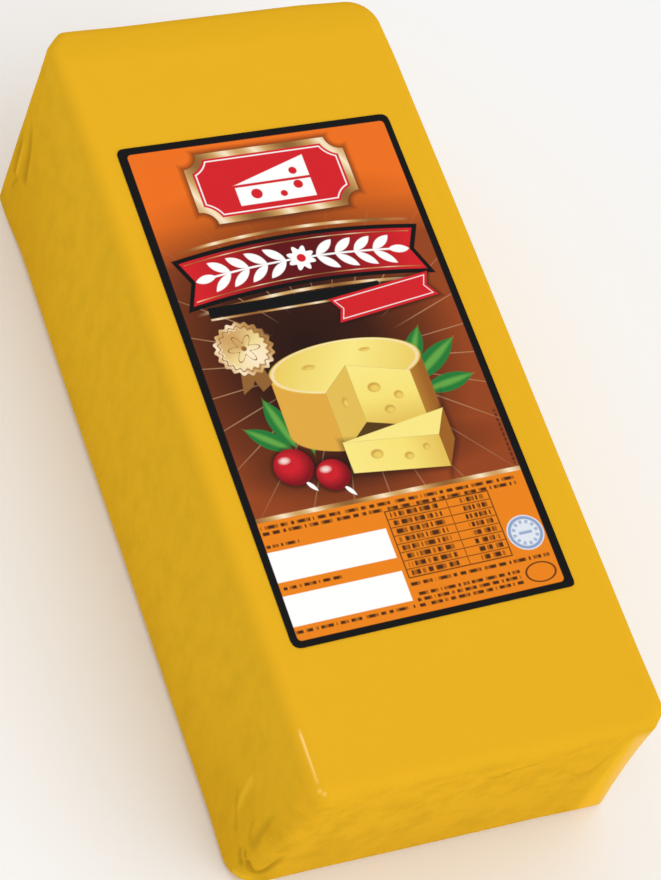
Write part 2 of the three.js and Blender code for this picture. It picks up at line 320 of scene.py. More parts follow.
def edge_radius(u, v, half_width, half_length, is_top):
    """The rounding of the top and base edges, which changes towards each upright corner."""
    radius = np.full(u.shape, EDGE_RADIUS)
    for corner in CORNERS:
        side_x, side_y = corner["side"]
        away = np.hypot(half_width * (1 - side_x * u), half_length * (1 - side_y * v))
        top_edge, foot_edge = corner["edges"]
        own_radius = np.where(is_top, top_edge, foot_edge)
        radius = radius + (own_radius - radius) * (1 - smooth(away, *EDGE_CHANGE))
    return radius


def round_long_edges(u, v, height):
    """Rolls the top and base edges over. Returns each point's place, height and inset."""
    half_width, half_length = half_sizes(height)
    inset = np.minimum(half_width * (1 - np.abs(u)), half_length * (1 - np.abs(v)))
    from_top = BLOCK_HEIGHT - height
    is_top = from_top < height
    from_cap = np.where(is_top, from_top, height)
    radius = edge_radius(u, v, half_width, half_length, is_top)
    across = radius - inset
    down = radius - from_cap
    in_round = (across > 0) & (down > 0)
    reach = np.hypot(across, down)
    scale = np.where(in_round, radius / np.maximum(reach, TINY), 1)
    new_inset = np.where(in_round, radius - across * scale, inset)
    new_from_cap = np.where(in_round, radius - down * scale, from_cap)
    new_height = np.where(is_top, BLOCK_HEIGHT - new_from_cap, new_from_cap)
    new_half_width, new_half_length = half_sizes(new_height)
    x = u * half_width * (new_half_width - new_inset) / (half_width - inset)
    y = v * half_length * (new_half_length - new_inset) / (half_length - inset)
    return x, y, new_height, new_inset


def corner_radius(corner, height):
    """An upright corner's radius at a height."""
    top_radius, foot_radius = corner["radii"]
    return foot_radius + (top_radius - foot_radius) * height / BLOCK_HEIGHT


def corner_frame(corner, x, y, height, inset):
    """A point's place from the middle of a corner's arc, positive outwards."""
    half_width, half_length = half_sizes(height)
    centre_inset = np.maximum(corner_radius(corner, height), inset + SMALLEST_RADIUS)
    side_x, side_y = corner["side"]
    return side_x * x - (half_width - centre_inset), side_y * y - (half_length - centre_inset)


def corner_reach(corner, out_x, out_y):
    """How far out a point lies in a corner: round it, or square to a flat cut across it."""
    if not corner["cut_flat"]:
        return np.hypot(out_x, out_y)
    sides = np.maximum(np.stack([out_x, out_y, (out_x + out_y) * FACET_SHARE]), 0)
    return (sides**FACET_SHARPNESS).sum(axis=0) ** (1 / FACET_SHARPNESS)


def round_upright_corner(corner, x, y, height, inset):
    """Rounds or cuts one upright corner in plan."""
    out_x, out_y = corner_frame(corner, x, y, height, inset)
    side_x, side_y = corner["side"]
    in_corner = (out_x > 0) & (out_y > 0)
    scale = np.maximum(out_x, out_y) / np.maximum(corner_reach(corner, out_x, out_y), TINY)
    move = np.where(in_corner, scale - 1, 0)
    return x + side_x * out_x * move, y + side_y * out_y * move


def follow(path, around, height):
    """Each point's distance from a path, and how much of the path it has passed."""
    legs = [Vector(end) - Vector(start) for start, end in zip(path, path[1:])]
    whole = sum(leg.length for leg in legs)
    distance = np.full(around.shape, np.inf)
    passed = np.zeros(around.shape)
    gone = 0
    for start, leg in zip(path, legs):
        off_x = around - start[0]
        off_y = height - start[1]
        share = np.clip((off_x * leg.x + off_y * leg.y) / leg.length_squared, 0, 1)
        reach = np.hypot(off_x - share * leg.x, off_y - share * leg.y)
        passed = np.where(reach < distance, (gone + share * leg.length) / whole, passed)
        distance = np.minimum(reach, distance)
        gone += leg.length
    return distance, passed


def fold_film(corner, around, height):
    """The film's rise round one corner, in metres."""
    rise = -corner["gather"] * bell(np.hypot(around, height - GATHER_HEIGHT), GATHER_WIDTH)
    for path, fold_rise, width in corner["folds"]:
        distance, passed = follow(path, around / MM, height / MM)
        fade = smooth(passed, 0, FOLD_FADE_IN) * smooth(1 - passed, 0, FOLD_FADE_OUT)
        rise = rise + fold_rise * MM * bell(distance, width) * fade
    return rise


def wall_wave(x, y, height):
    """The slow waviness of the pressed walls."""
    total = 0
    for place, waves in ((y, WAVES_ALONG), (x, WAVES_ACROSS), (height, WAVES_UP)):
        for length, start, share in waves:
            total = total + share * np.sin(place / length + start)
    return UNEVENNESS / 3 * total


def shape_skin(points):
    """Shapes the divided cube's points into the block.

    Returns them, and for each the folds' rise, the painted shade round the gathers, the
    film's gloss and the painted sheen at the corners.
    """
    u = crowd(points[:, 0], TOP_WIDTH / 2, CROWDED_ACROSS) / (TOP_WIDTH / 2)
    v = crowd(points[:, 1], TOP_LENGTH / 2, CROWDED_ALONG) / (TOP_LENGTH / 2)
    height = (points[:, 2] + 1) / 2 * BLOCK_HEIGHT
    on_wall = np.maximum(np.abs(points[:, 0]), np.abs(points[:, 1])) > WALL_SHARE
    x, y, height, inset = round_long_edges(u, v, height)
    for corner in CORNERS:
        x, y = round_upright_corner(corner, x, y, height, inset)
    wave = wall_wave(x, y, height)
    rise = wave.copy()
    doubled = np.zeros(len(points))
    gloss = np.full(len(points), FLAT_GLOSS)
    stretch = np.zeros(len(points))
    normal_x = np.where(np.abs(u) >= np.abs(v), np.sign(u), 0.0)
    normal_y = np.where(np.abs(v) > np.abs(u), np.sign(v), 0.0)
    for corner in CORNERS:
        side_x, side_y = corner["side"]
        radius = corner_radius(corner, height)
        half_arc = radius * math.pi / 4
        out_x, out_y = corner_frame(corner, x, y, height, inset)
        in_arc = (out_x > 0) & (out_y > 0)
        turn = np.arctan2(out_y, out_x)
        down_wall = np.where(side_x * x > 0, half_arc - out_y, OUT_OF_REACH)
        on_flat = np.where(out_y < 0, down_wall, out_x - half_arc)
        around = np.where(in_arc, radius * (math.pi / 4 - turn), on_flat)
        rise = rise + fold_film(corner, around, height)
        hollow = corner["hollow"] * bell(around, HOLLOW_WIDTH)
        hollow = hollow * np.sin(math.pi * height / BLOCK_HEIGHT)
        wave = wave - hollow
        rise = rise - hollow
        # Shade painted round the gather, on the long wall's side.
        from_gather = np.hypot(around, height - GATHER_HEIGHT)
        near_gather = 1 - smooth(from_gather, *GATHER_SHADE_FADE)
        doubled = np.maximum(doubled, near_gather * smooth(around, *GATHER_SHADE_SIDE))
        gloss_full, gloss_end = [share * half_arc for share in GLOSS_FADE]
        on_corner = 1 - smooth(np.abs(around), gloss_full, gloss_end)
        below_top = on_wall * smooth(BLOCK_HEIGHT - height, *GLOSS_AND_SHEEN_BELOW_TOP)
        gloss = gloss + (corner["gloss"] - gloss) * on_corner * below_top
        # Sheen painted near the corners that have it.
        near_corner = 1 - smooth(np.abs(around), *PAINTED_SHEEN_FADE)
        stretch = np.maximum(stretch, corner["stretch"] * near_corner * below_top)
        normal_x = np.where(in_arc, side_x * np.cos(turn), normal_x)
        normal_y = np.where(in_arc, side_y * np.sin(turn), normal_y)
    edge_fade = smooth(height, 0, EDGE_RADIUS) * smooth(BLOCK_HEIGHT - height, 0, EDGE_RADIUS)
    rise = rise * edge_fade * on_wall
    share = height / BLOCK_HEIGHT
    shaped_x = x + rise * normal_x + TOP_SHIFT_X * share
    shaped_y = y + rise * normal_y + BASE_SHIFT_Y * (1 - share)
    shaped = np.stack([shaped_x, shaped_y, height], axis=1)
    fold = (rise - wave * edge_fade) * on_wall / MM
    return shaped, {"fold": fold, "doubled": doubled * on_wall, "gloss": gloss, "stretch": stretch}


def cut_edges_along(mesh_object, axis, cuts):
    """Divides every edge that runs along one axis, and so every face that it crosses."""
    mesh = mesh_object.data
    for edge in mesh.edges:
        run = mesh.vertices[edge.vertices[1]].co - mesh.vertices[edge.vertices[0]].co
        edge.select = abs(run[axis]) > run.length / 2
    bpy.ops.object.mode_set(mode="EDIT")
    bpy.ops.mesh.subdivide(number_cuts=cuts)
    bpy.ops.mesh.select_all(action="DESELECT")
    bpy.ops.object.mode_set(mode="OBJECT")


bpy.ops.object.select_all(action="DESELECT")
bpy.ops.mesh.primitive_cube_add(size=2, location=(0, 0, 0))
block = bpy.context.object
block.name = "film_wrapped_block"
bpy.ops.object.mode_set(mode="EDIT")
bpy.ops.mesh.select_mode(type="EDGE")
bpy.ops.mesh.select_all(action="DESELECT")
bpy.ops.object.mode_set(mode="OBJECT")
for axis, lines in enumerate((LINES_ACROSS, LINES_ALONG, LINES_UP)):
    cut_edges_along(block, axis, lines - 1)
block_points = np.zeros(len(block.data.vertices) * 3)
block.data.vertices.foreach_get("co", block_points)
shaped_points, film_values = shape_skin(block_points.reshape(-1, 3))
block.data.vertices.foreach_set("co", shaped_points.ravel())
for attribute_name, values in film_values.items():
    attribute = block.data.attributes.new(attribute_name, "FLOAT", "POINT")
    attribute.data.foreach_set("value", values)
block.data.update()
bpy.ops.object.shade_smooth()


# The vector operations whose result is a number.
MEASURES = ("DISTANCE", "DOT_PRODUCT", "LENGTH")


class Tone:
    """A shader socket that Python's own operators can reckon with."""

    def __init__(self, tree, socket=None):
        self.tree = tree
        self.socket = socket

    def node(self, kind, settings=None, inputs=None, result=0):
        """Adds a node: first its settings, then the values or links of its sockets."""
        made = self.tree.nodes.new(kind)
        for name, value in (settings or {}).items():
            if name == "stops":
                fill_ramp(made.color_ramp, value)
            else:
                setattr(made, name, value)
        for name, value in (inputs or {}).items():
            if isinstance(value, Tone):
                self.tree.links.new(value.socket, made.inputs[name])
            else:
                made.inputs[name].default_value = value
        return Tone(self.tree, made.outputs[result])

    def feed(self, shader, socket_name):
        """Links this tone to one of the shader's sockets."""
        self.tree.links.new(self.socket, shader.inputs[socket_name])

    def parts(self):
        """The three numbers of a vector."""
        split = self.node("ShaderNodeSeparateXYZ", inputs={0: self}).socket.node
        return [Tone(self.tree, output) for output in split.outputs]

    def math(self, operation, *values):
        """A Math node on this tone and the other values."""
        inputs = dict(enumerate((self,) + values))
        return self.node("ShaderNodeMath", {"operation": operation}, inputs)

    def vector_math(self, operation, *values):
        """A Vector Math node on this tone and the other values."""
        inputs = dict(enumerate((self,) + values))
        result = "Value" if operation in MEASURES else "Vector"
        return self.node("ShaderNodeVectorMath", {"operation": operation}, inputs, result)

    def __add__(self, other):
        return self.math("ADD", other)

    def __sub__(self, other):
        return self.math("SUBTRACT", other)

    def __rsub__(self, other):
        return self.node("ShaderNodeMath", {"operation": "SUBTRACT"}, {0: other, 1: self})

    def __mul__(self, other):
        return self.math("MULTIPLY", other)

    def __abs__(self):
        return self.math("ABSOLUTE")

    def over(self, other):
        """The larger of two."""
        return self.math("MAXIMUM", other)

    def under(self, other):
        """The smaller of two."""
        return self.math("MINIMUM", other)

    def ramp(self, start, end, low=0.0, high=1.0):
        """Runs from low to high while this tone runs from start to end, and stays there."""
        inputs = {"From Min": start, "From Max": end, "To Min": low, "To Max": high}
        return self.node("ShaderNodeMapRange", {"clamp": True}, {"Value": self, **inputs})

    def colours(self, *stops):
        """A colour that runs through stops, each a share and the colour there."""
        return self.node("ShaderNodeValToRGB", {"stops": stops}, {0: self})

    def paint(self, colour, mask):
        """Lays another colour over this one where the mask is 1."""
        self.socket = mix_colours(self, colour, mask).socket


# The sockets of a Mix node of colours: its share, the two colours, and the result.
MIX_SHARE = 0
MIX_UNDER = 6
MIX_OVER = 7
MIX_RESULT = 2


def mix_colours(under, over, mask):
    """A colour with another laid over it. Either is a tone or a plain colour."""
    inputs = {MIX_SHARE: mask, MIX_UNDER: under, MIX_OVER: over}
    return mask.node("ShaderNodeMix", {"data_type": "RGBA"}, inputs, MIX_RESULT)


def fill_ramp(color_ramp, stops):
    """Sets a colour ramp's stops from (position, colour) pairs."""
    while len(color_ramp.elements) > 1:
        color_ramp.elements.remove(color_ramp.elements[-1])
    color_ramp.elements[0].position = stops[0][0]
    color_ramp.elements[0].color = stops[0][1]
    for position, colour in stops[1:]:
        color_ramp.elements.new(position).color = colour


def screen(red, green, blue):
    """A colour given as 0 to 255 on the screen, as the shader's own linear values."""
    channels = [channel / 255 for channel in (red, green, blue)]
    linear = [c / 12.92 if c <= 0.04045 else ((c + 0.055) / 1.055) ** 2.4 for c in channels]
    return (*linear, 1)


# The film's colours, and the light and shade painted into them. The far rim's colour is painted
# shade, the wall colour is painted light, and the end colours are painted light high up and
# shade low down. The gather's colour is painted shade, the mottle-and-shade colour is for the
# mottle and for painted shade in sunk folds, the fold highlight is painted on proud folds, the
# sheen colours are painted sheen near the corners, and the crease highlight is painted.
FILM_TOP = screen(234, 178, 36)
FILM_FAR_RIM_SHADE = screen(224, 171, 33)
FILM_WALL_LIGHTENED = screen(237, 185, 38)
FILM_END_LIT_HIGH = screen(239, 182, 37)
FILM_END_SHADED_LOW = screen(229, 177, 38)
FILM_GATHER_SHADE = screen(226, 173, 32)
FILM_MOTTLE_AND_SHADE = screen(186, 142, 27)
FILM_SHEEN_YELLOW = screen(243, 189, 39)
FILM_SHEEN_PALE = screen(253, 197, 60)
FILM_FOLD_HIGHLIGHT = screen(247, 197, 48)
FILM_CREASE_HIGHLIGHT = screen(252, 200, 90)

# Where the film's painted light and shade change: from the lightened walls to the top, from the
# long walls to the ends, and on the top towards the shaded far rim.
WALL_FADE = (78 * MM, 82.5 * MM)
END_FADE = (128 * MM, 134 * MM)
FAR_RIM_SHADE_FADE = (124 * MM, 141 * MM)

# The mottle of the cheese under the film, and the film's own crumples and grain. The film is
# drawn up the walls, so its mottle and crumples are longer upwards.
DRAWN_UP = (1, 1, 0.6)
MOTTLE = {"Scale": 130, "Detail": 4, "Roughness": 0.65}
MOTTLE_EDGE = (0.42, 0.8)
MOTTLE_TOP = 0.03
MOTTLE_WALL = 0.24
MOTTLE_END = 0.14
GRAIN = {"Scale": 700, "Detail": 3}
GRAIN_SHARE = 0.35
CRUMPLE = {"Scale": 160, "Detail": 2}
CRUMPLE_MIDDLE = 0.67
RELIEF_TOP = 0.2
RELIEF_WALL = 0.8
RELIEF_END = 0.4
RELIEF = {"Strength": 0.25, "Distance": 0.5 * MM}

# How strongly the painted shade round the gathers, the painted sheen at the corners, and the
# painted highlight on proud folds and shade in sunk folds show, and over which run of the
# sheen, from 0 to 1, or of the folds' rise in millimetres, proud or sunk.
GATHER_SHADE_SHARE = 0.85
SHEEN_YELLOW_RUN = (0.0, 0.7)
SHEEN_PALE_RUN = (0.5, 1.0)
SHEEN_PALE_SHARE = 0.6
PROUD_HIGHLIGHT_RUN = (0.15, 0.9)
PROUD_HIGHLIGHT_SHARE = 0.7
SUNK_SHADE_RUN = (-0.85, -0.12)
SUNK_SHADE_SHARE = 0.74

# A painted highlight where a crease on the top's left edge catches the light: a line with two
# spots past its end. The same mask raises the coat's gloss there.
CREASE_X = -57.8 * MM
CREASE_WIDTH = (0.15 * MM, 0.7 * MM)
CREASE_START = (-119.5 * MM, -117 * MM)
CREASE_END = (-136 * MM, -134.5 * MM)
CREASE_FAINT = (-134 * MM, -122 * MM)
CREASE_HEIGHT = (80 * MM, 81 * MM)
CREASE_FAINT_SHARE = 0.55
CREASE_GLOSS = 0.3
SPOT_SHARE = 0.8
SPOT_WIDTH = (0.3 * MM, 1.0 * MM)
SPOT_HEIGHT = BLOCK_HEIGHT - 1 * MM
SPOTS = ((-57.7 * MM, -137.2 * MM), (-56.6 * MM, -138.4 * MM))

film_finish = {"Roughness": 0.5, "Specular IOR Level": 0.0, "Coat Roughness": 0.13}
film, film_shader = new_material("yellow shrink film", film_finish)
film_start = Tone(film.node_tree)
place = film_start.node("ShaderNodeTexCoord", result="Object")
place_x, place_y, place_height = place.parts()
drawn_place = place.vector_math("MULTIPLY", DRAWN_UP)
fold, doubled, gloss, stretch = [
    film_start.node("ShaderNodeAttribute", {"attribute_name": name}, result="Fac")
    for name in ("fold", "doubled", "gloss", "stretch")
]
wall = place_height.ramp(*WALL_FADE, 1.0, 0.0)
end_wall = abs(place_y).ramp(*END_FADE) * wall

# The top is painted darker towards the far rim, as shade.
film_colour = mix_colours(FILM_TOP, FILM_FAR_RIM_SHADE, place_y.ramp(*FAR_RIM_SHADE_FADE))
# The walls are painted lighter and greener than the top, as light.
film_colour.paint(FILM_WALL_LIGHTENED, wall)
# The ends are painted lighter high up and darker towards the foot, as light and shade.
film_end_light_and_shade = mix_colours(FILM_END_SHADED_LOW, FILM_END_LIT_HIGH, place_height.ramp(0, WALL_FADE[0]))
film_colour.paint(film_end_light_and_shade, end_wall)
# Painted shade round the gathers.
film_colour.paint(FILM_GATHER_SHADE, doubled * GATHER_SHADE_SHARE)
mottle = place.node("ShaderNodeTexNoise", inputs={"Vector": drawn_place, **MOTTLE})
mottle_share = wall * MOTTLE_WALL + end_wall * MOTTLE_END + MOTTLE_TOP
film_colour.paint(FILM_MOTTLE_AND_SHADE, mottle.ramp(*MOTTLE_EDGE) * mottle_share)
# Painted yellow and pale sheen near the corners.
film_colour.paint(FILM_SHEEN_YELLOW, stretch.ramp(*SHEEN_YELLOW_RUN))
film_colour.paint(FILM_SHEEN_PALE, stretch.ramp(*SHEEN_PALE_RUN, 0.0, SHEEN_PALE_SHARE))
# Painted highlight on proud folds, painted shade in sunk ones.
film_colour.paint(FILM_FOLD_HIGHLIGHT, fold.ramp(*PROUD_HIGHLIGHT_RUN, 0.0, PROUD_HIGHLIGHT_SHARE))
film_colour.paint(FILM_MOTTLE_AND_SHADE, fold.ramp(*SUNK_SHADE_RUN, SUNK_SHADE_SHARE, 0.0))

# Painted highlight along the crease and at two spots, which also feeds the coat's gloss.
crease_highlight = abs(place_x - CREASE_X).ramp(*CREASE_WIDTH, 1.0, 0.0)
crease_highlight = crease_highlight * place_y.ramp(*CREASE_START, 1.0, 0.0) * place_y.ramp(*CREASE_END)
crease_highlight = crease_highlight * place_y.ramp(*CREASE_FAINT, CREASE_FAINT_SHARE, 1.0)
for spot_x, spot_y in SPOTS:
    spot_reach = place.vector_math("DISTANCE", (spot_x, spot_y, SPOT_HEIGHT))
    crease_highlight = crease_highlight.over(spot_reach.ramp(*SPOT_WIDTH, SPOT_SHARE, 0.0))
crease_highlight = crease_highlight * place_height.ramp(*CREASE_HEIGHT)
film_colour.paint(FILM_CREASE_HIGHLIGHT, crease_highlight)

grain = place.node("ShaderNodeTexNoise", inputs={"Vector": place, **GRAIN})
crumple = place.node("ShaderNodeTexNoise", inputs={"Vector": drawn_place, **CRUMPLE})
relief_share = wall * RELIEF_WALL + end_wall * RELIEF_END + RELIEF_TOP
film_relief = (grain * GRAIN_SHARE + crumple - CRUMPLE_MIDDLE) * relief_share
film_bump = film_relief.node("ShaderNodeBump", inputs={**RELIEF, "Height": film_relief})
film_colour.feed(film_shader, "Base Color")
film_bump.feed(film_shader, "Normal")
gloss.over(crease_highlight * CREASE_GLOSS).feed(film_shader, "Coat Weight")
block.data.materials.append(film)
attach(block, "root")
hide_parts("cheese_block")


# The label
# One coated paper label with rounded corners, stuck flat on the film a little left of the
# middle. Its lower edge is cut slightly out of square, it widens a little to its far right
# corner, and so does everything printed on it.
LABEL_LOW, LABEL_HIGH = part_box("label")
LABEL_NEAR = -91.3 * MM
LABEL_SKEW = 1.3 * MM
LABEL_SPREAD = 0.6 * MM
LABEL_CORNERS = {(-1, -1): 3 * MM, (1, -1): 1.3 * MM, (-1, 1): 2.3 * MM, (1, 1): 2.6 * MM}
LABEL_SHEET = 0.3 * MM
LABEL_LIFT = 0.04 * MM
LABEL_WAVES = (13 * MM, 19 * MM)
LABEL_WAVE_START = 0.7
LABEL_RIM = 0.06 * MM
LABEL_COLUMNS = 60
LABEL_ROWS = 116
LABEL_WIDTH = LABEL_HIGH.x - LABEL_LOW.x
LABEL_LENGTH = LABEL_HIGH.y - LABEL_NEAR
PRINT_WIDTH = 94
PRINT_LENGTH = 181


def shape_label(points):
    """Shapes a square grid's points into the label. Returns them and their print places."""
    across = (points[:, 0] + 1) / 2 * LABEL_WIDTH
    along = (points[:, 1] + 1) / 2 * LABEL_LENGTH
    for (side_x, side_y), radius in LABEL_CORNERS.items():
        out_x = side_x * (across - LABEL_WIDTH / 2) - (LABEL_WIDTH / 2 - radius)
        out_y = side_y * (along - LABEL_LENGTH / 2) - (LABEL_LENGTH / 2 - radius)
        in_corner = (out_x > 0) & (out_y > 0)
        scale = np.maximum(out_x, out_y) / np.maximum(np.hypot(out_x, out_y), TINY)
        across = across + np.where(in_corner, side_x * out_x * (scale - 1), 0)
        along = along + np.where(in_corner, side_y * out_y * (scale - 1), 0)
    skew = LABEL_SKEW * (2 * across / LABEL_WIDTH - 1) * (1 - along / LABEL_LENGTH)
    spread = LABEL_SPREAD * across / LABEL_WIDTH * along / LABEL_LENGTH
    wave = np.sin(across / LABEL_WAVES[0]) * np.sin(along / LABEL_WAVES[1] + LABEL_WAVE_START)
    height = LABEL_HIGH.z - LABEL_LIFT + LABEL_LIFT * wave
    shaped = np.stack([LABEL_LOW.x + across + spread, LABEL_NEAR + along + skew, height], axis=1)
    print_across = across / LABEL_WIDTH * (PRINT_WIDTH / PRINT_LENGTH)
    return shaped, np.stack([print_across, along / LABEL_LENGTH], axis=1)


bpy.ops.object.select_all(action="DESELECT")
bpy.ops.mesh.primitive_grid_add(
    x_subdivisions=LABEL_COLUMNS, y_subdivisions=LABEL_ROWS, size=2, location=(0, 0, 0)
)
label = bpy.context.object
label.name = "printed_label"
grid_points = np.zeros(len(label.data.vertices) * 3)
label.data.vertices.foreach_get("co", grid_points)
label_points, print_places = shape_label(grid_points.reshape(-1, 3))
label.data.vertices.foreach_set("co", label_points.ravel())
loop_points = np.zeros(len(label.data.loops), dtype=np.int32)
label.data.loops.foreach_get("vertex_index", loop_points)
print_map = label.data.uv_layers[0]
print_map.name = "print"
print_map.data.foreach_set("uv", print_places[loop_points].ravel())
sheet_modifier = label.modifiers.new("sheet", "SOLIDIFY")
sheet_modifier.thickness = LABEL_SHEET
sheet_modifier.offset = -1
bpy.ops.object.modifier_apply(modifier="sheet")
rim_modifier = label.modifiers.new("rim", "BEVEL")
rim_modifier.width = LABEL_RIM
rim_modifier.segments = 2
rim_modifier.angle_limit = math.radians(50)
bpy.ops.object.modifier_apply(modifier="rim")
bpy.ops.object.shade_smooth_by_angle(angle=math.radians(35))

# The print
# Places and sizes on the label are in millimetres, from its near left corner. Every shape is a
# distance field: its value is how far a point lies outside the shape, negative inside.
INK_EDGE = 0.14
THIN_LINE = 0.22
FINE_LINE = 0.2

coating_finish = {"Roughness": 0.38, "Specular IOR Level": 0.09}
coating, coating_shader = new_material("printed label", coating_finish)
blank = Tone(coating.node_tree)
map_place = blank.node("ShaderNodeUVMap", {"uv_map": "print"})
sheet = blank.node(
    "ShaderNodeVectorMath", {"operation": "SCALE"}, {0: map_place, "Scale": PRINT_LENGTH}
)
sheet_x, sheet_y = sheet.parts()[:2]


def inked(distance, edge=INK_EDGE):
    """A mask that is 1 inside a shape."""
    return distance.ramp(-edge, edge, 1.0, 0.0)


def rule(distance, half_width):
    """A mask that is 1 along a shape's outline."""
    return inked(abs(distance) - half_width)


def shade_round(distance, reach, strength):
    """A mask for the soft shade in a shape and round it."""
    return distance.ramp(0, reach, strength, 0.0)


def disc(centre, radius):
    """The field of a disc."""
    return sheet.vector_math("DISTANCE", (*centre, 0)) - radius


def oval(centre, half_width, half_height):
    """The field of an upright or lying oval."""
    off_centre = sheet.vector_math("SUBTRACT", (*centre, 0))
    shrunk = off_centre.vector_math("DIVIDE", (half_width, half_height, 1))
    length = shrunk.vector_math("LENGTH")
    return (length - 1) * min(half_width, half_height)


def oblong(centre, half_width, half_height):
    """The field of a sharp-cornered rectangle."""
    across = abs(sheet_x - centre[0]) - half_width
    return across.over(abs(sheet_y - centre[1]) - half_height)


def polygon(*corners):
    """The field of a convex polygon, whose corners run anticlockwise."""
    field = None
    for index, corner in enumerate(corners):
        side = Vector(corners[(index + 1) % len(corners)]) - Vector(corner)
        normal = Vector((side.y, -side.x)).normalized()
        offset = normal.dot(Vector(corner))
        edge = sheet.vector_math("DOT_PRODUCT", (normal.x, normal.y, 0)) - offset
        field = edge if field is None else field.over(edge)
    return field


def leaf_shape(base, tip, half_width, on=sheet):
    """The field of a pointed leaf between two points: where two wide arcs cross."""
    middle = (Vector(base) + Vector(tip)) / 2
    run = Vector(tip) - Vector(base)
    radius = (run.length_squared / 4 + half_width**2) / (2 * half_width)
    side = Vector((-run.y, run.x)).normalized() * (radius - half_width)
    arcs = [
        on.vector_math("DISTANCE", (*centre, 0)) - radius
        for centre in (middle + side, middle - side)
    ]
    return arcs[0].over(arcs[1])


def bearing(centre):
    """The angle of a place about a point, in radians."""
    return (sheet_y - centre[1]).math("ARCTAN2", sheet_x - centre[0])


def scallop(turn, count, depth):
    """A wave round a disc, which cuts its rim into petals."""
    return (turn * count).math("COSINE") * depth


ORANGE = screen(239, 113, 28)
ORANGE_LOW = screen(237, 132, 22)
BROWN_EDGE = screen(150, 68, 28)
BROWN = screen(112, 50, 20)
BROWN_DEEP = screen(58, 24, 12)
BROWN_CORE = screen(36, 13, 8)
RAY = screen(196, 152, 112)
INK_BLACK = screen(12, 12, 12)
INK_RED = screen(212, 32, 40)
INK_RED_DEEP = screen(96, 14, 18)
INK_WHITE = screen(255, 255, 253)
GOLD_DARK = screen(146, 98, 48)
GOLD = screen(208, 162, 98)
GOLD_LIGHT = screen(252, 232, 196)

# The ground: brown, dark round the picture and lighter to the sides, with thin rays on it.
GLOW = (38, 98)
GLOW_HALF = (52, 62)
RAY_CENTRE = (47, 92)
RAY_GAP = 2 * math.pi / 26
RAY_WIDTH = 0.16
RAY_START = (22, 34)
RAY_END = (40, 62)
glow_share = oval(GLOW, *GLOW_HALF) * (1 / min(GLOW_HALF)) + 1
ground = glow_share.colours((0.0, BROWN_CORE), (0.42, BROWN_DEEP), (0.78, BROWN), (1.0, BROWN_EDGE))
ray_turn = bearing(RAY_CENTRE) * (1 / RAY_GAP)
ray_off = abs(ray_turn.math("FRACT") - 0.5) * RAY_GAP
ray_reach = disc(RAY_CENTRE, 0)
ray_fade = ray_reach.ramp(*RAY_START) * ray_reach.ramp(*RAY_END, 0.7, 0.15)
ground.paint(RAY, inked(ray_off * ray_reach - RAY_WIDTH) * ray_fade)


def fill(colour, shape, edge=INK_EDGE):
    """Prints a colour inside a shape."""
    ground.paint(colour, inked(shape, edge))


# The orange head of the label, which darkens towards the brown.
HEAD_FADE = (134, 150)
HEAD_SHADE = (47, 146)
HEAD_SHADE_HALF = (46, 15)
ground.paint(ORANGE, sheet_y.ramp(*HEAD_FADE))
head_shade = oval(HEAD_SHADE, *HEAD_SHADE_HALF).ramp(-HEAD_SHADE_HALF[1], 3, 0.62, 0.0)
ground.paint(BROWN_DEEP, head_shade)

# A gold that runs light and dark along the sheet, as printed foil does.
gold_share = (sheet_x * 0.19 + sheet_y * 0.11).math("SINE") * 0.5 + 0.5
gold = gold_share.colours((0.0, GOLD_DARK), (0.45, GOLD), (0.8, GOLD_LIGHT), (1.0, GOLD))

# The plaque at the head: red, rimmed in gold, its corners notched, with a cheese wedge on it.
PLAQUE = (47, 161.5)
PLAQUE_HALF = (27.5, 13.6)
PLAQUE_NOTCH = 5.2
PLAQUE_RIM = 2.3
PLAQUE_LINE = 3.3
WEDGE_FRONT = ((34, 153.4), (60, 153.4), (60, 160.4), (34, 160.4))
WEDGE_TOP = ((34, 161.4), (60, 161.4), (60, 169.6))
WEDGE_HOLES = (
    ((40.5, 157.2), 1.9),
    ((49.5, 155.9), 1.2),
    ((55.2, 158.6), 1.6),
    ((55, 164), 1.4),
)
plaque_x = abs(sheet_x - PLAQUE[0]) - PLAQUE_HALF[0]
plaque_y = abs(sheet_y - PLAQUE[1]) - PLAQUE_HALF[1]
notch = PLAQUE_NOTCH - (plaque_x * plaque_x + plaque_y * plaque_y).math("SQRT")
plaque = plaque_x.over(plaque_y).over(notch)
ground.paint(BROWN_DEEP, shade_round(plaque, reach=2.2, strength=0.75))
fill(gold, plaque)
fill(INK_RED, plaque + PLAQUE_RIM)
ground.paint(INK_WHITE, rule(plaque + PLAQUE_LINE, THIN_LINE))
wedge = polygon(*WEDGE_FRONT).under(polygon(*WEDGE_TOP))
for hole, hole_radius in WEDGE_HOLES:
    wedge = wedge.over(0 - disc(hole, hole_radius))
fill(INK_WHITE, wedge)

# The arched red band across the label, edged in black, with a white garland of leaves.
BAND = (47, 131)
BAND_ARCH = 0.0021
BAND_HALF = 9.6
BAND_REACH = 42.2
BAND_END_SLANT = 0.42
BAND_EDGE = 1.6
BAND_DEEP = (8, 36)
BAND_LINE = 6.9
BAND_LINE_END = 2.6
FOIL_LINE = 11.6
FOIL_HALF = 0.55
FOIL_REACH = 34
FOIL_FADE = 6
GARLAND_REACH = 31
LEAF_START = 5.2
LEAF_STEP = 6.4
LEAF_RUN = (6.6, 5.2)
LEAF_HALF = 1.5
LAST_LEAF = ((29.5, 0), (36.5, 0))
STEM_HALF = 0.35
band_x = abs(sheet_x - BAND[0])
band_y = abs(sheet_y - BAND[1] + band_x * band_x * BAND_ARCH)
band_end = band_x - BAND_REACH + (BAND_HALF - band_y) * BAND_END_SLANT
band = band_end.over(band_y - BAND_HALF)
